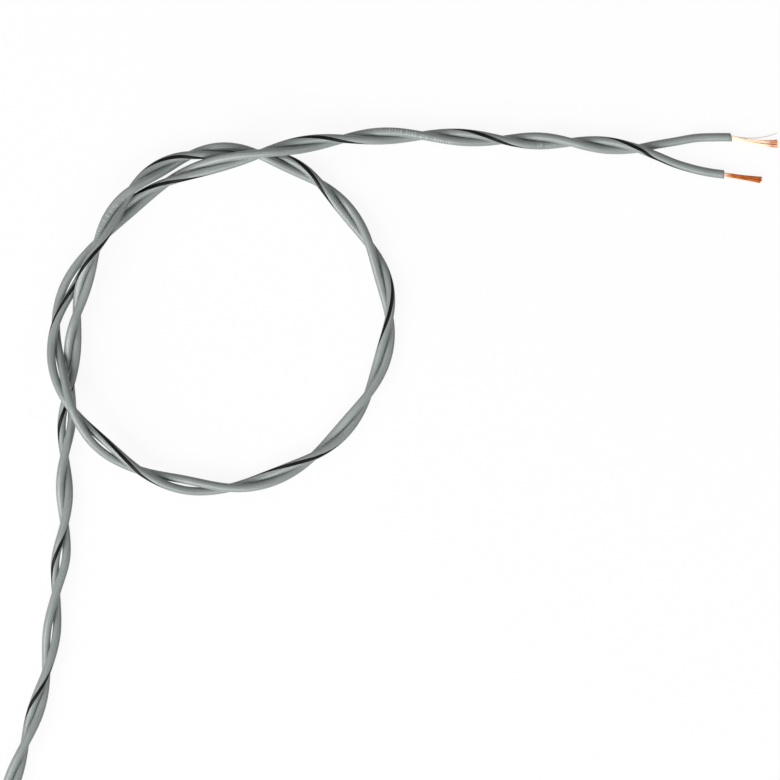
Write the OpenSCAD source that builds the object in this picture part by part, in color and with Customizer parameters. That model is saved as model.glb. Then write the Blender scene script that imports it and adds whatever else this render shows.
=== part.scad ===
// Twisted-pair speaker cable lying in one loose loop, with its near end split and bared.
// Two equal cores are laid up right-handed. One has a plain grey sheath, the other a striped one.

/* [Core] */
// Outside diameter of one insulated core
core_d = 3; // [2.4:0.1:3]
// Gap left between the bunch of strands and the insulation around it
bunch_gap = 0.05; // [0.02:0.01:0.1]

/* [Strands] */
// Diameter of one copper strand
strand_d = 0.29; // [0.2:0.01:0.32]
// Gap between neighbouring strands in a bunch
strand_gap = 0.01; // [0.005:0.005:0.03]
// Rings of strands laid round the middle one
strand_rings = 2; // [1:1:2]
// Turn of the strands round their bunch over the bared length, in degrees
strand_turn = 40; // [0:5:90]

/* [Bared ends] */
// Length of copper bared on the plain core
plain_bared_l = 16.5; // [8:0.5:20]
// Sideways bend of the plain core's bunch at its tip
plain_bend = 2.2; // [0:0.1:3]
// Width of the plain core's frayed tip as a share of its bunch
plain_fray_share = 2.2; // [1:0.1:2.5]
// Sideways reach of the one strand that strays from the plain core's bunch
stray_reach = 2.6; // [0:0.1:4]
// Length of copper bared on the striped core
striped_bared_l = 13.5; // [8:0.5:20]
// Sideways bend of the striped core's bunch at its tip
striped_bend = 0.2; // [0:0.1:3]
// Width of the striped core's frayed tip as a share of its bunch
striped_fray_share = 1.6; // [1:0.1:2.5]

/* [Hidden] */

pair_d = 2 * core_d;
strand_pitch = strand_d + strand_gap;
bunch_d = strand_d + 2 * strand_rings * strand_pitch;
bore_d = bunch_d + 2 * bunch_gap;

// The cores cross over once each half turn. Each row is one crossing, from the cut end to the split:
// its place, how far the pair is lifted there (in pair diameters), and how far the cores gape after it.
// The striped core is on top at every second crossing. The loop passes itself under, over and under.
route = [
    [-139.5, -132.5, 0, 0], [-131, -107.5, 0, 0], [-122.5, -83, 0, 0],
    [-115, -58, 0, 0.4], [-111.5, -30.5, 0, 0.6], [-108.5, -6, 0, 0],
    [-108.5, 17.5, 0, 0.5], [-106.5, 42.5, 0, 0], [-104, 67, 0.55, 0],
    [-97.2, 89.5, 1.2, 0], [-85, 110.5, 0.85, 0], [-65, 123, 0, 0],
    [-41, 123.5, 0, 0], [-19.5, 113.5, 0, 0], [-2, 92, 0, 0],
    [5, 66.5, 0, 0], [-2.5, 39.5, 0, 0], [-21.5, 18, 0, 0],
    [-50.5, 7, 0, 0.6], [-82, 13, 0.3, 0.5], [-104.6, 33.5, 1.35, 0.3],
    [-111.5, 63.5, 0.2, 0.5], [-96.5, 93, 0, 0], [-73, 113.5, 0.1, 0],
    [-40.2, 123.3, 1.05, 0], [-11.5, 128.7, 0.3, 0], [16, 130, 0, 0],
    [44, 128.5, 0, 0], [68, 127.7, 0, 0], [91.5, 125.5, 0, 0]];
// Past the last crossing the cores part. Each row is a place and a height (in core diameters).
plain_leg = [[98, 126.8, 0.5], [105, 128, 0.5], [112, 129.2, 0.5], [118.5, 129.5, 0.5], [124.5, 129.5, 0.5]];
striped_leg = [[98, 123, 1.35], [105, 120.2, 1], [112, 118.2, 0.65], [117.5, 117.1, 0.52], [122, 116.5, 0.5]];

striped_side = 1;
plain_side = -1;
core_sides = 8;
rings_per_crossing = 3;
strand_sides = 6;
strand_steps = 4;
// Half step along the route, in crossings, over which a direction is measured
aim_share = 0.05;

last = len(route) - 1;
function unit(v) = v / norm(v);
function ease(t) = t * t * (3 - 2 * t);
function lerp(a, b, t) = a + (b - a) * t;

// The pair's axis: a smooth curve through the crossings, with the lift eased between them.
// u counts crossings, so its whole part picks the stretch and the rest the place along it.
function crossing(i) =
    i < 0 ? 2 * route[0] - route[1] : i > last ? 2 * route[last] - route[last - 1] : route[i];
function curve(a, b, c, d, t) =
    (2 * b + (c - a) * t + (2 * a - 5 * b + 4 * c - d) * t * t + (3 * b - a - 3 * c + d) * t * t * t) / 2;
function stretch(u) = max(0, min(last - 1, floor(u)));
function axis_at(u) =
    let(
        i = stretch(u),
        t = u - i,
        p = curve(crossing(i - 1), crossing(i), crossing(i + 1), crossing(i + 2), t),
        lift = lerp(route[i][2], route[i + 1][2], ease(max(0, min(1, t)))))
    [p.x, p.y, core_d + lift * pair_d];
function gape_at(u) = route[stretch(u)][3] * pow(sin(180 * u), 2);

// Direction from the pair's axis out to one core: half a turn for each crossing.
function outward(u, side) =
    let(
        ahead = unit(axis_at(u + aim_share) - axis_at(u - aim_share)),
        left = unit(cross([0, 0, 1], ahead)),
        up = cross(ahead, left),
        turn = 180 * u - 90)
    side * (cos(turn) * left + sin(turn) * up);
function core_at(u, side) = axis_at(u) + outward(u, side) * (core_d + gape_at(u)) / 2;

// Middles of a core's rings, from the cut end along the twist and out along its own leg
twist_steps = [for (k = [0 : last * rings_per_crossing]) k / rings_per_crossing];
function middles(side, leg) = concat(
    [for (u = twist_steps) core_at(u, side)],
    [for (p = leg) [p.x, p.y, p.z * core_d]]);
// Facing of each ring, so that a flat of one core lies along a flat of the other
function facings(side, leg) = concat(
    [for (u = twist_steps) outward(u, side)],
    [for (p = leg) outward(last, side)]);
function aims(m) = [for (i = [0 : len(m) - 1]) unit(m[min(i + 1, len(m) - 1)] - m[max(i - 1, 0)])];

// One ring of points round a middle, square to its aim and turned to its facing
function ring(middle, aim, facing, d, sides) =
    let(
        out = unit(facing - (facing * aim) * aim),
        across = cross(aim, out))
    [for (k = [0 : sides - 1])
        let(a = 360 * (k + 1 / 2) / sides)
        middle + (cos(a) * out + sin(a) * across) * d / 2];
function tube_rings(m, f, d, sides) =
    let(t = aims(m))
    [for (i = [0 : len(m) - 1]) ring(m[i], t[i], f[i], d, sides)];

// Faces of a tube's wall, split so that the flats of two twisted cores stay clear of each other
function wall_faces(count, sides, first, inward) =
    [for (i = [0 : count - 2], k = [0 : sides - 1])
        let(
            a = first + i * sides + k,
            b = first + i * sides + (k + 1) % sides,
            c = b + sides,
            d = a + sides)
        each inward ? [[a, b, c], [a, c, d]] : [[a, c, b], [a, d, c]]];
function rim_faces(outer, inner, sides, far) =
    [for (k = [0 : sides - 1])
        let(
            n = (k + 1) % sides,
            a = outer + k,
            b = outer + n,
            c = inner + n,
            d = inner + k)
        each far ? [[a, c, b], [a, d, c]] : [[a, b, c], [a, c, d]]];
function flat(rings) = [for (r = rings) each r];

module rod(rings, sides) {
    count = len(rings);
    near = [for (k = [0 : sides - 1]) k];
    far = [for (k = [sides - 1 : -1 : 0]) (count - 1) * sides + k];
    polyhedron(flat(rings), concat(wall_faces(count, sides, 0, false), [near, far]));
}

module pipe(outer, inner, sides) {
    count = len(outer);
    inside = count * sides;
    end = (count - 1) * sides;
    polyhedron(
        concat(flat(outer), flat(inner)),
        concat(
            wall_faces(count, sides, 0, false),
            wall_faces(count, sides, inside, true),
            rim_faces(0, inside, sides, false),
            rim_faces(end, inside + end, sides, true)));
}

module core_insulation(side, leg) {
    m = middles(side, leg);
    f = facings(side, leg);
    pipe(tube_rings(m, f, core_d, core_sides), tube_rings(m, f, bore_d, core_sides), core_sides);
}

module core_conductor(side, leg) {
    m = middles(side, leg);
    rod(tube_rings(m, facings(side, leg), bunch_d, core_sides), core_sides);
}

// Places of the strands in a bunch: how many rings out, and the angle round it
strands_round = 6;
function ring_count(ring_no) = strands_round * ring_no;
strand_places = concat(
    [[0, 0]],
    [for (ring_no = [1 : strand_rings], k = [0 : ring_count(ring_no) - 1])
        [ring_no, 360 * k / ring_count(ring_no)]]);

// Copper bared at the end of a leg: each strand leaves the bunch's end face, turns with the lay,
// bends with the bunch and frays towards its tip. The stray one, if any, springs out to the side.
module bared_strands(leg, bared_l, bend, fray_share, stray, reach) {
    count = len(leg);
    tip = [leg[count - 1].x, leg[count - 1].y, leg[count - 1].z * core_d];
    before = [leg[count - 2].x, leg[count - 2].y, leg[count - 2].z * core_d];
    ahead = unit(tip - before);
    left = unit(cross([0, 0, 1], ahead));
    up = cross(ahead, left);
    for (n = [0 : len(strand_places) - 1]) {
        place = strand_places[n];
        strand_reach = n == stray ? reach : 0;
        m = [for (k = [0 : strand_steps])
            let(
                s = k / strand_steps,
                a = place[1] + strand_turn * s,
                r = place[0] * strand_pitch * lerp(1, fray_share, s * s))
            tip + ahead * bared_l * s + left * (strand_reach * s * s - bend * s * (2 - s))
                + r * (cos(a) * left + sin(a) * up)];
        rod([for (p = m) ring(p, ahead, up, strand_d, strand_sides)], strand_sides);
    }
}

// The strand of the plain core that springs away: the first of the outer ring
stray_strand = len(strand_places) - ring_count(strand_rings);
no_stray = -1;

module plain_core_insulation() {
    color("#98A19E")
        core_insulation(plain_side, plain_leg);
}

module striped_core_insulation() {
    color("#7F8885")
        core_insulation(striped_side, striped_leg);
}

module plain_core_conductor() {
    color("#C98A5E")
        core_conductor(plain_side, plain_leg);
}

module striped_core_conductor() {
    color("#B0622C")
        core_conductor(striped_side, striped_leg);
}

module plain_core_bared_strands() {
    color("#DDA27C")
        bared_strands(plain_leg, plain_bared_l, plain_bend, plain_fray_share, stray_strand, stray_reach);
}

module striped_core_bared_strands() {
    color("#B4652B")
        bared_strands(striped_leg, striped_bared_l, striped_bend, striped_fray_share, no_stray, 0);
}

plain_core_insulation();
striped_core_insulation();
plain_core_conductor();
striped_core_conductor();
plain_core_bared_strands();
striped_core_bared_strands();
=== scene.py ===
import math
import bpy
from mathutils import Matrix, Vector, noise


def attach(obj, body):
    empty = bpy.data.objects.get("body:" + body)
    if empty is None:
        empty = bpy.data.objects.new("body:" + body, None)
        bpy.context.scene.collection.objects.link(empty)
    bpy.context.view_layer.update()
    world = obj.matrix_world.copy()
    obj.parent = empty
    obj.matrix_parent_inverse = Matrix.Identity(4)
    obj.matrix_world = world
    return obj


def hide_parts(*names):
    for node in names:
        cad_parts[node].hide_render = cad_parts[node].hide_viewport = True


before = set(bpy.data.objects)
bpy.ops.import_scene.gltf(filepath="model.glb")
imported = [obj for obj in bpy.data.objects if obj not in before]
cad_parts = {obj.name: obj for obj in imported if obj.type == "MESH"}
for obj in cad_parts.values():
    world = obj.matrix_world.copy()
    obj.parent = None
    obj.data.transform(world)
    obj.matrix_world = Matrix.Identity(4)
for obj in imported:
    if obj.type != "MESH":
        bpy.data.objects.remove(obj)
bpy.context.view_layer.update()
scene = bpy.context.scene

# Camera
# The cable lies on a table and is seen from straight above, through a long lens that keeps the loop round.
# The far end runs out of view at the lower left.
view_width = 0.273
view_middle = (0.00525, 0.041125)
lens_mm = 200
sensor_mm = 36
camera_data = bpy.data.cameras.new("camera")
camera_data.lens = lens_mm
camera_data.sensor_width = sensor_mm
camera = bpy.data.objects.new("camera", camera_data)
camera.location = (*view_middle, view_width * lens_mm / sensor_mm)
scene.collection.objects.link(camera)
scene.camera = camera

# Plain core's insulation
# A 3 mm sheath of grey PVC, extruded round the copper bunch in one go and then twisted with its twin.
# It is a pipe that follows the lay of the pair, round the loop and out along its own split leg.
core_d = 0.003
pair_d = 2 * core_d
bore_d = 0.00159
# One row a crossing, from the cut end to the split: x, y, lift in pair diameters, gape after it.
# The striped core is on top at every second crossing. The loop passes itself under, over and under.
route = [
    (-0.1395, -0.1325, 0, 0), (-0.131, -0.1075, 0, 0), (-0.1225, -0.083, 0, 0),
    (-0.115, -0.058, 0, 0.0004), (-0.1115, -0.0305, 0, 0.0006), (-0.1085, -0.006, 0, 0),
    (-0.1085, 0.0175, 0, 0.0005), (-0.1065, 0.0425, 0, 0), (-0.104, 0.067, 0.55, 0),
    (-0.0972, 0.0895, 1.2, 0), (-0.085, 0.1105, 0.85, 0), (-0.065, 0.123, 0, 0),
    (-0.041, 0.1235, 0, 0), (-0.0195, 0.1135, 0, 0), (-0.002, 0.092, 0, 0),
    (0.005, 0.0665, 0, 0), (-0.0025, 0.0395, 0, 0), (-0.0215, 0.018, 0, 0),
    (-0.0505, 0.007, 0, 0.0006), (-0.082, 0.013, 0.3, 0.0005), (-0.1046, 0.0335, 1.35, 0.0003),
    (-0.1115, 0.0635, 0.2, 0.0005), (-0.0965, 0.093, 0, 0), (-0.073, 0.1135, 0.1, 0),
    (-0.0402, 0.1233, 1.05, 0), (-0.0115, 0.1287, 0.3, 0), (0.016, 0.13, 0, 0),
    (0.044, 0.1285, 0, 0), (0.068, 0.1277, 0, 0), (0.0915, 0.1255, 0, 0)]
# Past the last crossing the cores part. Each row is a place and a height in core diameters.
plain_leg = [(0.098, 0.1268, 0.5), (0.105, 0.128, 0.5), (0.112, 0.1292, 0.5), (0.1185, 0.1295, 0.5),
             (0.1245, 0.1295, 0.5)]
plain_side = -1
last = len(route) - 1
steps_per_crossing = 24
steps_per_leg_point = 6
sheath_sides = 32
up_axis = Vector((0, 0, 1))
# Rows of plain ticks printed on the skin: first and last crossing, and the angle from the core's outer side
# at each, in degrees. The reach is how far round a row goes to either side, the fade how softly it ends.
plain_marks = [(9.2, 9.9, 95, 75), (25.35, 26.4, 50, -15), (28.3, 28.6, 40, 30)]
mark_reach = math.radians(42)
mark_fade = math.radians(14)
pvc_ior = 1.53


def curve(a, b, c, d, t):
    """The point at share t between b and c of a smooth curve through four points."""
    slope = c - a
    bow = 2 * a - 5 * b + 4 * c - d
    wave = 3 * b - a - 3 * c + d
    return (2 * b + slope * t + bow * t ** 2 + wave * t ** 3) / 2


def ease(t):
    """A share that starts and ends gently."""
    return t * t * (3 - 2 * t)


def crossing(i):
    """The place of a crossing on the table, or of one more past either end."""
    if i < 0:
        return 2 * crossing(0) - crossing(1)
    if i > last:
        return 2 * crossing(last) - crossing(last - 1)
    return Vector((*route[i][:2], 0))


def stretch(u):
    """The number of the crossing at which the stretch that holds u starts."""
    return max(0, min(last - 1, math.floor(u)))


def axis_at(u):
    """The pair's axis at crossing u: a smooth curve through the crossings, lifted where it passes over."""
    i = stretch(u)
    place = curve(crossing(i - 1), crossing(i), crossing(i + 1), crossing(i + 2), u - i)
    lift = route[i][2] + (route[i + 1][2] - route[i][2]) * ease(max(0, min(1, u - i)))
    return place + up_axis * (core_d + lift * pair_d)


def outward(u, side):
    """The direction from the pair's axis out to one core, which makes half a turn for each crossing."""
    aim_step = 0.05
    ahead = (axis_at(u + aim_step) - axis_at(u - aim_step)).normalized()
    left = up_axis.cross(ahead).normalized()
    up = ahead.cross(left)
    turn = math.pi * u - math.pi / 2
    return side * (math.cos(turn) * left + math.sin(turn) * up)


def core_at(u, side):
    """The middle of one core at crossing u. The cores touch, except where they gape between crossings."""
    gape = route[stretch(u)][3] * math.sin(math.pi * u) ** 2
    return axis_at(u) + outward(u, side) * (core_d + gape) / 2


def core_line(side, leg):
    """Middles and facings of a core's rings, from the cut end along the twist and out along its leg."""
    lead_in = 1 / 4
    twist = [k / steps_per_crossing for k in range(last * steps_per_crossing + 1)]
    middles = [core_at(u, side) for u in twist]
    facings = [outward(u, side) for u in twist]
    # A leg leaves the last crossing level, in line with the core's last quarter of a stretch.
    before = core_at(last - lead_in, side)
    before.z = middles[-1].z
    points = [before, middles[-1]] + [Vector((x, y, height * core_d)) for x, y, height in leg]
    points.append(2 * points[-1] - points[-2])
    for i in range(1, len(points) - 2):
        for k in range(1, steps_per_leg_point + 1):
            middles.append(curve(*points[i - 1:i + 3], k / steps_per_leg_point))
            facings.append(facings[len(twist) - 1])
    return middles, facings


def run_length(middles):
    """How far along the line each of its points lies."""
    along = [0.0]
    for a, b in zip(middles, middles[1:]):
        along.append(along[-1] + (b - a).length)
    return along


def printed(marks, ring, angle):
    """How fully a point of the skin lies in a row of ticks, from its ring and its angle from the facing."""
    u = ring / steps_per_crossing
    for start, end, start_roll, end_roll in marks:
        if start <= u <= end:
            roll = start_roll + (end_roll - start_roll) * (u - start) / (end - start)
            off = (angle - math.radians(roll) + math.pi) % (2 * math.pi) - math.pi
            return max(0.0, min(1.0, (mark_reach - abs(off)) / mark_fade))
    return 0.0


def sheath(name, middles, facings, rolls, marks, bared_tilt, materials):
    """A closed pipe along a core, with a knife cut at both ends. Its UV map counts turns round from the
    stripe's back, and core girths along. Rolls says how far each ring's stripe lies from its facing."""
    skin_slot, cut_slot = 0, 1
    cut_rough = 0.00006
    cut_grain = 0.0004
    lip = 0.00012
    bore_step = 3
    count = len(middles)
    along = run_length(middles)
    aims = [(middles[min(i + 1, count - 1)] - middles[max(i - 1, 0)]).normalized() for i in range(count)]
    # Rows of points, out along the skin and back through the bore: ring, radius, step along the core, slot.
    bore_rings = [i for i in range(count - 1, -1, -1) if i % bore_step == 0 or i == count - 1]
    wall = [(i, core_d / 2, 0.0, skin_slot) for i in range(count)]
    bore = [(i, bore_d / 2, 0.0, cut_slot) for i in bore_rings]
    bared_end = [(count - 1, core_d / 2 - lip, lip / 2, cut_slot)]
    cut_end = [(0, core_d / 2 - lip, -lip / 2, cut_slot)]
    rows = wall + bared_end + bore + cut_end
    verts = []
    ticks = []
    turns = []
    for i, radius, step, slot in rows:
        out = (facings[i] - facings[i].dot(aims[i]) * aims[i]).normalized()
        across = aims[i].cross(out)
        left = up_axis.cross(aims[i]).normalized()
        for k in range(sheath_sides):
            angle = 2 * math.pi * k / sheath_sides
            spoke = (math.cos(angle) * out + math.sin(angle) * across) * radius
            shift = step
            if i == count - 1:
                shift += bared_tilt * spoke.dot(left)
            if i in (0, count - 1):
                shift += cut_rough * noise.noise(spoke / cut_grain)
            verts.append(middles[i] + spoke + aims[i] * shift)
            ticks.append(0.0 if slot == cut_slot else printed(marks, i, angle))
        turns.append((rolls[i], along[i] / (math.pi * core_d)))
    faces = []
    uvs = []
    slots = []
    for r, row in enumerate(rows):
        after = (r + 1) % len(rows)
        near = r * sheath_sides
        far = after * sheath_sides
        for k in range(sheath_sides):
            n = (k + 1) % sheath_sides
            faces.append((near + k, near + n, far + n, far + k))
            for at, step in ((r, k), (r, k + 1), (after, k + 1), (after, k)):
                uvs.append((step / sheath_sides - turns[at][0] + 0.5, turns[at][1]))
            slots.append(max(row[3], rows[after][3]))
    mesh = bpy.data.meshes.new(name)
    mesh.from_pydata(verts, [], faces)
    mesh.uv_layers.new(name="lay").data.foreach_set("uv", [value for uv in uvs for value in uv])
    mesh.attributes.new("mark", "FLOAT", "POINT").data.foreach_set("value", ticks)
    for material in materials:
        mesh.materials.append(material)
    mesh.polygons.foreach_set("material_index", slots)
    mesh.shade_smooth()
    piece = bpy.data.objects.new(name, mesh)
    scene.collection.objects.link(piece)
    return piece


def linear(colour):
    """An sRGB hex colour as linear RGBA."""
    channels = [int(colour[i:i + 2], 16) / 255 for i in (1, 3, 5)]
    return tuple(c / 12.92 if c <= 0.04045 else ((c + 0.055) / 1.055) ** 2.4 for c in channels) + (1.0,)


def add(tree, kind, inputs, **settings):
    """Adds a node with its settings, and sets or links its inputs, by number where their names repeat."""
    node = tree.nodes.new(kind)
    for name, value in settings.items():
        setattr(node, name, value)
    for name, value in inputs.items():
        if isinstance(value, bpy.types.NodeSocket):
            tree.links.new(value, node.inputs[name])
        else:
            node.inputs[name].default_value = value
    return node


def shader(name):
    """A new material with an empty tree."""
    material = bpy.data.materials.new(name)
    material.use_nodes = True
    material.node_tree.nodes.clear()
    return material, material.node_tree


def extruded_pvc(name, body, shade, ink, stripe=None):
    """Soft grey PVC as it leaves the die: satin, faintly drawn out lengthwise and a little uneven in tone.
    Ink is the colour of worn printed ticks. A stripe is a band co-extruded flush with the skin."""
    girth_mm = math.pi * core_d * 1000
    radius_mm = core_d * 1000 / 2
    # The die's lines are finer on the real skin, and drawn as coarse as they need to show.
    die_line_mm = 0.17
    die_line_length_mm = 20
    die_line_depth = 0.00008
    die_line_strength = 0.35
    blotch_mm = 11
    tone_low, tone_high = 0.1, 0.45
    grit_mm = 0.4
    smoothest, roughest = 0.22, 0.34
    gloss = 0.5
    stripe_gloss = 0.1
    stripe_mm = 1.3
    stripe_edge_mm = 0.1
    tick_mm = 0.35
    tick_pitch_mm = 1.0
    tick_share = 0.75
    wear_mm = 1.2
    worn_off, left_whole = 0.35, 0.6
    material, tree = shader(name)
    lay = add(tree, "ShaderNodeUVMap", {}, uv_map="lay")
    parts = add(tree, "ShaderNodeSeparateXYZ", {"Vector": lay.outputs["UV"]})
    place = add(tree, "ShaderNodeTexCoord", {}).outputs["Object"]
    # The die's lines are noise on the core's round, stretched lengthwise.
    angle = add(tree, "ShaderNodeMath",
                {0: parts.outputs["X"], 1: 2 * math.pi}, operation="MULTIPLY").outputs[0]
    east = add(tree, "ShaderNodeMath", {0: angle}, operation="COSINE").outputs[0]
    north = add(tree, "ShaderNodeMath", {0: angle}, operation="SINE").outputs[0]
    drawn = add(tree, "ShaderNodeMath",
                {0: parts.outputs["Y"], 1: girth_mm / radius_mm * die_line_mm / die_line_length_mm},
                operation="MULTIPLY").outputs[0]
    skin = add(tree, "ShaderNodeCombineXYZ", {"X": east, "Y": north, "Z": drawn}).outputs[0]
    die_lines = add(tree, "ShaderNodeTexNoise",
                    {"Vector": skin, "Scale": radius_mm / die_line_mm, "Detail": 3}).outputs["Fac"]
    tone = add(tree, "ShaderNodeTexNoise",
               {"Vector": place, "Scale": 1000 / blotch_mm, "Detail": 2}).outputs["Fac"]
    grit = add(tree, "ShaderNodeTexNoise",
               {"Vector": place, "Scale": 1000 / grit_mm, "Detail": 2}).outputs["Fac"]
    uneven = add(tree, "ShaderNodeMath", {0: die_lines, 1: tone}, operation="MULTIPLY").outputs[0]
    spread = add(tree, "ShaderNodeMapRange",
                 {"Value": uneven, "From Min": tone_low, "From Max": tone_high}).outputs[0]
    colour = add(tree, "ShaderNodeMix",
                 {0: spread, 6: linear(shade), 7: linear(body)}, data_type="RGBA").outputs[2]
    if stripe:
        half_turn = stripe_mm / girth_mm / 2
        edge_turn = stripe_edge_mm / girth_mm / 2
        turn = add(tree, "ShaderNodeMath", {0: parts.outputs["X"]}, operation="FRACT").outputs[0]
        off = add(tree, "ShaderNodeMath", {0: turn, 1: 0.5}, operation="SUBTRACT").outputs[0]
        away = add(tree, "ShaderNodeMath", {0: off}, operation="ABSOLUTE").outputs[0]
        band = add(tree, "ShaderNodeMapRange",
                   {"Value": away, "From Min": half_turn + edge_turn, "From Max": half_turn - edge_turn},
                   interpolation_type="SMOOTHSTEP").outputs[0]
        colour = add(tree, "ShaderNodeMix",
                     {0: band, 6: colour, 7: linear(stripe)}, data_type="RGBA").outputs[2]
        gloss = add(tree, "ShaderNodeMapRange",
                    {"Value": band, "To Min": gloss, "To Max": stripe_gloss}).outputs[0]
    # Ticks in step along the core where the mark attribute asks for them, some lost and the rest worn.
    mark = add(tree, "ShaderNodeAttribute", {}, attribute_name="mark").outputs["Fac"]
    pitches = girth_mm / tick_pitch_mm
    steps = add(tree, "ShaderNodeMath",
                {0: parts.outputs["Y"], 1: pitches}, operation="MULTIPLY").outputs[0]
    step = add(tree, "ShaderNodeMath", {0: steps}, operation="FRACT").outputs[0]
    tick_no = add(tree, "ShaderNodeMath", {0: steps}, operation="FLOOR").outputs[0]
    luck = add(tree, "ShaderNodeTexWhiteNoise", {"W": tick_no}, noise_dimensions="1D").outputs["Value"]
    kept = add(tree, "ShaderNodeMath", {0: luck, 1: tick_share}, operation="LESS_THAN").outputs[0]
    tick = add(tree, "ShaderNodeMath",
               {0: step, 1: tick_mm / tick_pitch_mm}, operation="LESS_THAN").outputs[0]
    rub = add(tree, "ShaderNodeTexNoise",
              {"Vector": place, "Scale": 1000 / wear_mm, "Detail": 2}).outputs["Fac"]
    left_on = add(tree, "ShaderNodeMapRange",
                  {"Value": rub, "From Min": worn_off, "From Max": left_whole}).outputs[0]
    row = add(tree, "ShaderNodeMath", {0: mark, 1: tick}, operation="MULTIPLY").outputs[0]
    some = add(tree, "ShaderNodeMath", {0: row, 1: kept}, operation="MULTIPLY").outputs[0]
    inked = add(tree, "ShaderNodeMath", {0: some, 1: left_on}, operation="MULTIPLY").outputs[0]
    colour = add(tree, "ShaderNodeMix",
                 {0: inked, 6: colour, 7: linear(ink)}, data_type="RGBA").outputs[2]
    rough = add(tree, "ShaderNodeMapRange",
                {"Value": grit, "To Min": smoothest, "To Max": roughest}).outputs[0]
    relief = add(tree, "ShaderNodeBump",
                 {"Height": die_lines, "Strength": die_line_strength,
                  "Distance": die_line_depth}).outputs[0]
    surface = add(tree, "ShaderNodeBsdfPrincipled",
                  {"Base Color": colour, "Roughness": rough, "Normal": relief, "IOR": pvc_ior,
                   "Specular IOR Level": gloss})
    add(tree, "ShaderNodeOutputMaterial", {"Surface": surface.outputs[0]})
    return material


def cut_pvc(name, body, torn_edge):
    """The same PVC where a blade has gone through it: dull, a little paler and faintly torn."""
    tear_mm = 0.25
    tear_depth = 0.00006
    material, tree = shader(name)
    place = add(tree, "ShaderNodeTexCoord", {}).outputs["Object"]
    torn = add(tree, "ShaderNodeTexNoise",
               {"Vector": place, "Scale": 1000 / tear_mm, "Detail": 3}).outputs["Fac"]
    colour = add(tree, "ShaderNodeMix",
                 {0: torn, 6: linear(body), 7: linear(torn_edge)}, data_type="RGBA").outputs[2]
    relief = add(tree, "ShaderNodeBump",
                 {"Height": torn, "Strength": 0.5, "Distance": tear_depth}).outputs[0]
    surface = add(tree, "ShaderNodeBsdfPrincipled",
                  {"Base Color": colour, "Roughness": 0.7, "Normal": relief, "IOR": pvc_ior})
    add(tree, "ShaderNodeOutputMaterial", {"Surface": surface.outputs[0]})
    return material


plain_pvc = extruded_pvc("extruded_grey_pvc", body="#9AA19F", shade="#878E8C", ink="#BFC5C2")
cut_face = cut_pvc("knife_cut_pvc", body="#9AA19F", torn_edge="#C3C8C6")
plain_middles, plain_facings = core_line(plain_side, plain_leg)
no_rolls = [0.0] * len(plain_middles)
plain_sheath = sheath("plain_sheath", plain_middles, plain_facings, no_rolls, plain_marks,
                      bared_tilt=-0.2, materials=[plain_pvc, cut_face])
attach(plain_sheath, "root")
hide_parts("plain_core_insulation")

# Striped core's insulation
# The plain core's twin, with a black stripe co-extruded along it so that the two can be told apart.
# The stripe wanders round the core, because the core rolled a little as it was laid up.
striped_leg = [(0.098, 0.123, 1.35), (0.105, 0.1202, 1), (0.112, 0.1182, 0.65), (0.1175, 0.1171, 0.52),
               (0.122, 0.1165, 0.5)]
striped_side = 1
# Where the stripe comes into sight and goes out of it: the place in crossings, and how far round it lies
# from the core's outer side, in degrees. The whole split leg counts as one more crossing.
stripe_rolls = [
    (0, 40), (2.4, 42), (3, 63), (4.2, 72), (5, 88), (6.2, 67), (6.8, 76), (8.5, 20), (9.2, 24),
    (10.4, 45), (11.2, 26), (12.5, 37), (13, 22), (13.3, 18), (14.6, 26), (15.3, 12), (16.4, -28),
    (17.8, -36), (19, -34), (19.8, -65), (21, -66), (21.5, -90), (22.6, 10), (23.4, 10), (24.6, 34),
    (25.2, 42), (26.5, 34), (27.2, 36), (28.6, 6), (29, 2), (29.25, 70), (29.6, 94), (30, 105)]
striped_marks = [(27.4, 27.85, -85, -120)]


def stripe_roll(u):
    """The stripe's angle from the outer side at crossing u, in degrees."""
    for (start, start_roll), (end, end_roll) in zip(stripe_rolls, stripe_rolls[1:]):
        if u <= end:
            return start_roll + (end_roll - start_roll) * ease((u - start) / (end - start))
    return stripe_rolls[-1][1]


striped_pvc = extruded_pvc("extruded_striped_pvc", body="#979E9C", shade="#848B89", ink="#BCC2BF",
                           stripe="#0A0B0B")
striped_middles, striped_facings = core_line(striped_side, striped_leg)
twist_count = last * steps_per_crossing + 1
leg_count = len(striped_middles) - twist_count
# The sheath takes each ring's roll in turns.
rolls = [stripe_roll(k / steps_per_crossing) / 360 for k in range(twist_count)]
rolls += [stripe_roll(last + k / leg_count) / 360 for k in range(1, leg_count + 1)]
striped_sheath = sheath("striped_sheath", striped_middles, striped_facings, rolls, striped_marks,
                        bared_tilt=-0.1, materials=[striped_pvc, cut_face])
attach(striped_sheath, "root")
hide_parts("striped_core_insulation")

# Bared copper strands
# Each core holds a bunch of fine drawn copper wires, one in the middle and the rest in rings round it.
# The strands keep their lay where the insulation was pulled off, and fray towards the tip.
strand_d = 0.00029
strand_pitch = 0.0003
strand_rings = 2
strands_round = 6
strand_turn = math.radians(40)
# The strand that springs away from the plain core's bunch is the first of the outer ring.
stray_strand = 7
no_stray = -1


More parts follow.
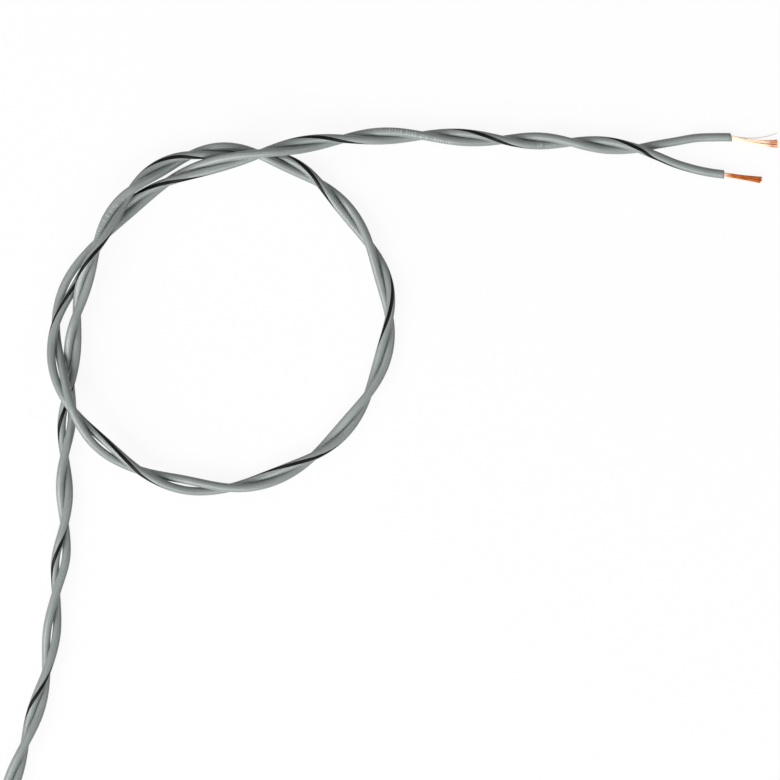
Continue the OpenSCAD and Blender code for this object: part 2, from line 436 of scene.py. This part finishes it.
def bunch_places(stray):
    """The strands as a mesh of loose points. Each has its place in the bunch, seen from the bunch's end,
    its place in the flat fan that a frayed tip opens into, and a mark if it is the stray one. The fan keeps
    the order that the strands have where it starts to open."""
    opening = 0.6
    places = [Vector((0, 0, 0))]
    for ring_no in range(1, strand_rings + 1):
        for k in range(strands_round * ring_no):
            angle = 2 * math.pi * k / (strands_round * ring_no)
            places.append(ring_no * strand_pitch * Vector((0, math.cos(angle), math.sin(angle))))
    turned = [Matrix.Rotation(opening * strand_turn, 3, "X") @ at for at in places]
    across = sorted(range(len(places)), key=lambda n: turned[n].y)
    mesh = bpy.data.meshes.new("bunch_places")
    mesh.from_pydata([(0, 0, 0)] * len(places), [], [])
    for name in ("place", "fan"):
        mesh.attributes.new(name, "FLOAT_VECTOR", "POINT")
    mesh.attributes.new("astray", "FLOAT", "POINT")
    for rank, n in enumerate(across):
        spread = (2 * rank / (len(places) - 1) - 1) * strand_rings * strand_pitch
        mesh.attributes["place"].data[n].vector = places[n]
        mesh.attributes["fan"].data[n].vector = (0, spread, turned[n].z)
        mesh.attributes["astray"].data[n].value = 1.0 if n == stray else 0.0
    return mesh


def strand_tree():
    """A tree that draws one wire from each point of a bunch, along X: turned with the lay, bent with the
    bunch, frayed and made a little uneven towards the tip."""
    wire_points = 28
    wire_sides = 12
    waver_turns = 2.2
    waver_apart = 40.0
    tree = bpy.data.node_groups.new("bared_strands", "GeometryNodeTree")
    tree.interface.new_socket("Geometry", in_out="INPUT", socket_type="NodeSocketGeometry")
    for name in ("Strand diameter", "Bared length", "Lay turn", "Bend", "Splay", "Fray", "Stray reach",
                 "Wobble", "Ragged"):
        tree.interface.new_socket(name, in_out="INPUT", socket_type="NodeSocketFloat")
    tree.interface.new_socket("Seed", in_out="INPUT", socket_type="NodeSocketInt")
    tree.interface.new_socket("Copper", in_out="INPUT", socket_type="NodeSocketMaterial")
    tree.interface.new_socket("Geometry", in_out="OUTPUT", socket_type="NodeSocketGeometry")
    given = add(tree, "NodeGroupInput", {}).outputs
    line = add(tree, "GeometryNodeCurvePrimitiveLine", {"End": (1, 0, 0)})
    steps = add(tree, "GeometryNodeResampleCurve", {"Curve": line.outputs["Curve"], "Count": wire_points})
    bunch = add(tree, "GeometryNodeInstanceOnPoints",
                {"Points": given["Geometry"], "Instance": steps.outputs["Curve"]})
    wires = add(tree, "GeometryNodeRealizeInstances", {"Geometry": bunch.outputs["Instances"]})
    place = add(tree, "GeometryNodeInputNamedAttribute", {"Name": "place"}, data_type="FLOAT_VECTOR")
    fan = add(tree, "GeometryNodeInputNamedAttribute", {"Name": "fan"}, data_type="FLOAT_VECTOR")
    astray = add(tree, "GeometryNodeInputNamedAttribute", {"Name": "astray"}, data_type="FLOAT")
    share = add(tree, "GeometryNodeSplineParameter", {}).outputs["Factor"]
    squared = add(tree, "ShaderNodeMath", {0: share, 1: share}, operation="MULTIPLY").outputs[0]
    # Each wire has its own number, which sets where it was snipped and how it wavers.
    wire_no = add(tree, "GeometryNodeCurveOfPoint", {}).outputs["Curve Index"]
    own = add(tree, "FunctionNodeRandomValue",
              {2: 0.0, 3: 1.0, "ID": wire_no, "Seed": given["Seed"]}, data_type="FLOAT").outputs[1]
    snipped = add(tree, "ShaderNodeMath", {0: own, 1: given["Ragged"]}, operation="MULTIPLY").outputs[0]
    kept = add(tree, "ShaderNodeMath", {0: 1.0, 1: snipped}, operation="SUBTRACT").outputs[0]
    reach = add(tree, "ShaderNodeMath",
                {0: given["Bared length"], 1: kept}, operation="MULTIPLY").outputs[0]
    ahead = add(tree, "ShaderNodeMath", {0: reach, 1: share}, operation="MULTIPLY").outputs[0]
    # The bunch turns with the lay, and opens into a fan of its frayed width towards the tip.
    angle = add(tree, "ShaderNodeMath", {0: given["Lay turn"], 1: share}, operation="MULTIPLY").outputs[0]
    turned = add(tree, "ShaderNodeVectorRotate",
                 {"Vector": place.outputs["Attribute"], "Angle": angle}, rotation_type="X_AXIS")
    wide = add(tree, "ShaderNodeCombineXYZ", {"X": 1.0, "Y": given["Fray"], "Z": 1.0})
    frayed = add(tree, "ShaderNodeVectorMath",
                 {0: fan.outputs["Attribute"], 1: wide.outputs[0]}, operation="MULTIPLY")
    opened = add(tree, "ShaderNodeMath", {0: given["Splay"], 1: squared}, operation="MULTIPLY").outputs[0]
    laid = add(tree, "ShaderNodeMix",
               {0: opened, 4: turned.outputs[0], 5: frayed.outputs[0]}, data_type="VECTOR")
    # It bends to the right early on, and the stray wire springs out to the left towards its tip.
    rest = add(tree, "ShaderNodeMath", {0: 2.0, 1: share}, operation="SUBTRACT").outputs[0]
    early = add(tree, "ShaderNodeMath", {0: share, 1: rest}, operation="MULTIPLY").outputs[0]
    sag = add(tree, "ShaderNodeMath", {0: given["Bend"], 1: early}, operation="MULTIPLY").outputs[0]
    sprung = add(tree, "ShaderNodeMath",
                 {0: given["Stray reach"], 1: astray.outputs["Attribute"]}, operation="MULTIPLY").outputs[0]
    spring = add(tree, "ShaderNodeMath", {0: sprung, 1: squared}, operation="MULTIPLY").outputs[0]
    sideways = add(tree, "ShaderNodeMath", {0: spring, 1: sag}, operation="SUBTRACT").outputs[0]
    shift = add(tree, "ShaderNodeCombineXYZ", {"X": ahead, "Y": sideways})
    # A slow waver, different on each wire, that grows from nothing at the insulation.
    apart = add(tree, "ShaderNodeMath", {0: own, 1: waver_apart}, operation="MULTIPLY").outputs[0]
    spot = add(tree, "ShaderNodeCombineXYZ", {"X": share, "Y": apart})
    waver = add(tree, "ShaderNodeTexNoise",
                {"Vector": spot.outputs[0], "Scale": waver_turns, "Detail": 1.0})
    centred = add(tree, "ShaderNodeVectorMath",
                  {0: waver.outputs["Color"], 1: (0.5, 0.5, 0.5)}, operation="SUBTRACT")
    grown = add(tree, "ShaderNodeMath", {0: given["Wobble"], 1: share}, operation="MULTIPLY").outputs[0]
    wobble = add(tree, "ShaderNodeVectorMath", {0: centred.outputs[0], "Scale": grown}, operation="SCALE")
    course = add(tree, "ShaderNodeVectorMath", {0: laid.outputs[1], 1: shift.outputs[0]}, operation="ADD")
    course = add(tree, "ShaderNodeVectorMath",
                 {0: course.outputs[0], 1: wobble.outputs[0]}, operation="ADD")
    bent = add(tree, "GeometryNodeSetPosition",
               {"Geometry": wires.outputs[0], "Position": course.outputs[0]})
    # The share along each wire goes with the mesh, because the copper's colour changes towards the tip.
    told = add(tree, "GeometryNodeStoreNamedAttribute",
               {"Geometry": bent.outputs[0], "Name": "along", "Value": share},
               data_type="FLOAT", domain="POINT")
    radius = add(tree, "ShaderNodeMath",
                 {0: given["Strand diameter"], 1: 0.5}, operation="MULTIPLY").outputs[0]
    section = add(tree, "GeometryNodeCurvePrimitiveCircle", {"Resolution": wire_sides, "Radius": radius})
    drawn = add(tree, "GeometryNodeCurveToMesh",
                {"Curve": told.outputs[0], "Profile Curve": section.outputs["Curve"], "Fill Caps": True})
    smooth = add(tree, "GeometryNodeSetShadeSmooth", {"Geometry": drawn.outputs[0]})
    whole = add(tree, "GeometryNodeRealizeInstances", {"Geometry": smooth.outputs[0]})
    coloured = add(tree, "GeometryNodeSetMaterial",
                   {"Geometry": whole.outputs[0], "Material": given["Copper"]})
    add(tree, "NodeGroupOutput", {"Geometry": coloured.outputs[0]})
    return tree


def bunch(name, tip, before, stray, sizes, copper):
    """Draws a bunch of strands out of the end of a core and puts it there as a plain mesh."""
    piece = bpy.data.objects.new(name, bunch_places(stray))
    scene.collection.objects.link(piece)
    wires = piece.modifiers.new("strands", "NODES")
    wires.node_group = strands
    for socket in strands.interface.items_tree:
        if socket.in_out == "INPUT" and socket.name in sizes:
            wires[socket.identifier] = sizes[socket.name]
        if socket.in_out == "INPUT" and socket.name == "Copper":
            wires[socket.identifier] = copper
    seen = piece.evaluated_get(bpy.context.evaluated_depsgraph_get())
    mesh = bpy.data.meshes.new_from_object(seen)
    piece.modifiers.remove(wires)
    ahead = (tip - before).normalized()
    left = up_axis.cross(ahead).normalized()
    up = ahead.cross(left)
    mesh.transform(Matrix.Translation(tip) @ Matrix((ahead, left, up)).transposed().to_4x4())
    mesh.name = name
    piece.data = mesh
    return piece


def bare_copper(name, fresh_and_sheen, handled, stain, stray_shaded_root, stray_tip, fresh_and_sheen_until, handled_from):
    """Drawn copper wire: a bright metal, pale cream near the insulation, which is partly fresh metal and
    partly a painted highlight, and more orange and browned in patches where it has been handled. One stray
    wire may go from one colour to another; its darker brown root is painted shade."""
    stain_mm = 1.4
    stain_low, stain_high = 0.4, 0.65
    # The drawing die's marks are much finer on real wire, and drawn as coarse as they need to show.
    draw_mark_mm = 0.17
    smoothest, roughest = 0.25, 0.45
    material, tree = shader(name)
    place = add(tree, "ShaderNodeTexCoord", {}).outputs["Object"]
    along = add(tree, "ShaderNodeAttribute", {}, attribute_name="along").outputs["Fac"]
    astray = add(tree, "ShaderNodeAttribute", {}, attribute_name="astray").outputs["Fac"]
    # The pale colour near the insulation is partly fresh metal and partly a painted highlight. It goes over
    # to the handled colour towards the tip.
    touched = add(tree, "ShaderNodeMapRange",
                  {"Value": along, "From Min": fresh_and_sheen_until, "From Max": handled_from}).outputs[0]
    worn = add(tree, "ShaderNodeMix",
               {0: touched, 6: linear(fresh_and_sheen), 7: linear(handled)}, data_type="RGBA").outputs[2]
    browned = add(tree, "ShaderNodeTexNoise",
                  {"Vector": place, "Scale": 1000 / stain_mm, "Detail": 3}).outputs["Fac"]
    patch = add(tree, "ShaderNodeMapRange",
                {"Value": browned, "From Min": stain_low, "From Max": stain_high}).outputs[0]
    stained = add(tree, "ShaderNodeMath", {0: patch, 1: touched}, operation="MULTIPLY").outputs[0]
    copper = add(tree, "ShaderNodeMix",
                 {0: stained, 6: worn, 7: linear(stain)}, data_type="RGBA").outputs[2]
    # The stray wire's root is darker brown, a painted shade on the bunch's upper edge, going to pale grey
    # towards its tip.
    loose = add(tree, "ShaderNodeMix",
                {0: along, 6: linear(stray_shaded_root), 7: linear(stray_tip)}, data_type="RGBA").outputs[2]
    colour = add(tree, "ShaderNodeMix", {0: astray, 6: copper, 7: loose}, data_type="RGBA").outputs[2]
    drawn = add(tree, "ShaderNodeTexNoise",
                {"Vector": place, "Scale": 1000 / draw_mark_mm, "Detail": 2}).outputs["Fac"]
    rough = add(tree, "ShaderNodeMapRange",
                {"Value": drawn, "To Min": smoothest, "To Max": roughest}).outputs[0]
    surface = add(tree, "ShaderNodeBsdfPrincipled",
                  {"Base Color": colour, "Metallic": 1.0, "Roughness": rough})
    add(tree, "ShaderNodeOutputMaterial", {"Surface": surface.outputs[0]})
    return material


strands = strand_tree()
# The plain core's copper is painted pale cream near the insulation: partly fresh metal, partly a painted
# highlight.
copper_with_painted_sheen = bare_copper("bare_copper_painted_sheen", fresh_and_sheen="#FCE4CA", handled="#DFA078", stain="#BF7648",
                            # The stray wire's brown root is painted shade on the bunch's upper edge.
                            stray_shaded_root="#B08258", stray_tip="#C9C7C5", fresh_and_sheen_until=0.7, handled_from=0.97)
browned_copper = bare_copper("browned_bare_copper", fresh_and_sheen="#E6BE9E", handled="#BE6B33", stain="#A0531F",
                             stray_shaded_root="#BE6B33", stray_tip="#BE6B33", fresh_and_sheen_until=0.03, handled_from=0.25)
plain_strands = bunch(
    "plain_strands", plain_middles[-1], plain_middles[-2], stray_strand,
    {"Strand diameter": strand_d, "Bared length": 0.0165, "Lay turn": strand_turn, "Bend": 0.0022,
     "Splay": 1.0, "Fray": 2.2, "Stray reach": 0.0026, "Wobble": 0.0004, "Ragged": 0.035, "Seed": 3},
    copper_with_painted_sheen)
striped_strands = bunch(
    "striped_strands", striped_middles[-1], striped_middles[-2], no_stray,
    {"Strand diameter": strand_d, "Bared length": 0.0135, "Lay turn": strand_turn, "Bend": 0.0002,
     "Splay": 1.0, "Fray": 1.7, "Stray reach": 0.0, "Wobble": 0.0002, "Ragged": 0.05, "Seed": 8},
    browned_copper)
for piece, node in ((plain_strands, "plain_core_bared_strands"),
                    (striped_strands, "striped_core_bared_strands")):
    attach(piece, "root")
    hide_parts(node)

# Copper inside the cores
# The bunches run on through the insulation to the far end, where the cable was snipped off its reel.
# The cut shows the ends of the strands, standing a hair proud of the insulation.
for node in ("plain_core_conductor", "striped_core_conductor"):
    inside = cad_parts[node]
    inside.data.materials.clear()
    inside.data.materials.append(browned_copper)
proud = {"Strand diameter": strand_d, "Bared length": 0.00025, "Lay turn": 0.0, "Bend": 0.0, "Splay": 0.0,
         "Fray": 1.0, "Stray reach": 0.0, "Wobble": 0.0, "Ragged": 0.4}
plain_cut_strands = bunch("plain_cut_strands", plain_middles[0], plain_middles[1], no_stray,
                          {**proud, "Seed": 5}, copper_with_painted_sheen)
striped_cut_strands = bunch("striped_cut_strands", striped_middles[0], striped_middles[1], no_stray,
                            {**proud, "Seed": 6}, copper_with_painted_sheen)
for piece in (plain_cut_strands, striped_cut_strands):
    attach(piece, "root")

# Table and light
# A pale table under a broad key light from the lower left, with three weak fills and hardly any light
# all round. The table and the surroundings are white to the eye and in reflections, and the table keeps
# the shadow.
table_size = 6.0
table_bounce = 0.25
shadow_share = 0.08
surround_level = 0.02
half = table_size / 2
table_mesh = bpy.data.meshes.new("table")
table_corners = [(-half, -half, 0), (half, -half, 0), (half, half, 0), (-half, half, 0)]
table_mesh.from_pydata(table_corners, [], [(0, 1, 2, 3)])
table = bpy.data.objects.new("table", table_mesh)
scene.collection.objects.link(table)


def seen_directly(tree):
    """One for a ray from the eye, straight or by way of a reflection or a clear body, and else zero."""
    path = add(tree, "ShaderNodeLightPath", {}).outputs
    seen = add(tree, "ShaderNodeMath",
               {0: path["Is Camera Ray"], 1: path["Is Glossy Ray"]}, operation="ADD").outputs[0]
    return add(tree, "ShaderNodeMath",
               {0: seen, 1: path["Is Transmission Ray"]}, operation="ADD", use_clamp=True).outputs[0]


pale_table, tree = shader("pale_table")
bounce = add(tree, "ShaderNodeBsdfDiffuse", {"Color": (table_bounce, table_bounce, table_bounce, 1)})
shadowed = add(tree, "ShaderNodeBsdfDiffuse", {"Color": (shadow_share, shadow_share, shadow_share, 1)})
glow = add(tree, "ShaderNodeEmission", {"Color": (1, 1, 1, 1), "Strength": 1 - shadow_share})
shown = add(tree, "ShaderNodeAddShader", {0: shadowed.outputs[0], 1: glow.outputs[0]})
surface = add(tree, "ShaderNodeMixShader",
              {0: seen_directly(tree), 1: bounce.outputs[0], 2: shown.outputs[0]})
add(tree, "ShaderNodeOutputMaterial", {"Surface": surface.outputs[0]})
table_mesh.materials.append(pale_table)

studio = bpy.data.worlds.new("studio")
scene.world = studio
studio.use_nodes = True
tree = studio.node_tree
tree.nodes.clear()
level = add(tree, "ShaderNodeMapRange",
            {"Value": seen_directly(tree), "To Min": surround_level, "To Max": 1.0})
sky = add(tree, "ShaderNodeBackground", {"Color": (1, 1, 1, 1), "Strength": level.outputs[0]})
add(tree, "ShaderNodeOutputWorld", {"Surface": sky.outputs[0]})

for name, place, size, watts in (("key", (-1.3, -1.2, 1.2), 2.0, 60),
                                 ("lower_fill", (0.1, -1.7, 1.3), 1.0, 14),
                                 ("right_fill", (0.85, 0.05, 0.65), 0.6, 2.1),
                                 ("upper_fill", (-0.65, 0.7, 0.65), 0.6, 2.1)):
    lamp_data = bpy.data.lights.new(name, "AREA")
    lamp_data.size = size
    lamp_data.energy = watts
    lamp = bpy.data.objects.new(name, lamp_data)
    lamp.location = place
    lamp.rotation_euler = (-Vector(place)).to_track_quat("-Z", "Y").to_euler()
    lamp.visible_camera = False
    scene.collection.objects.link(lamp)

scene.view_settings.view_transform = "Standard"
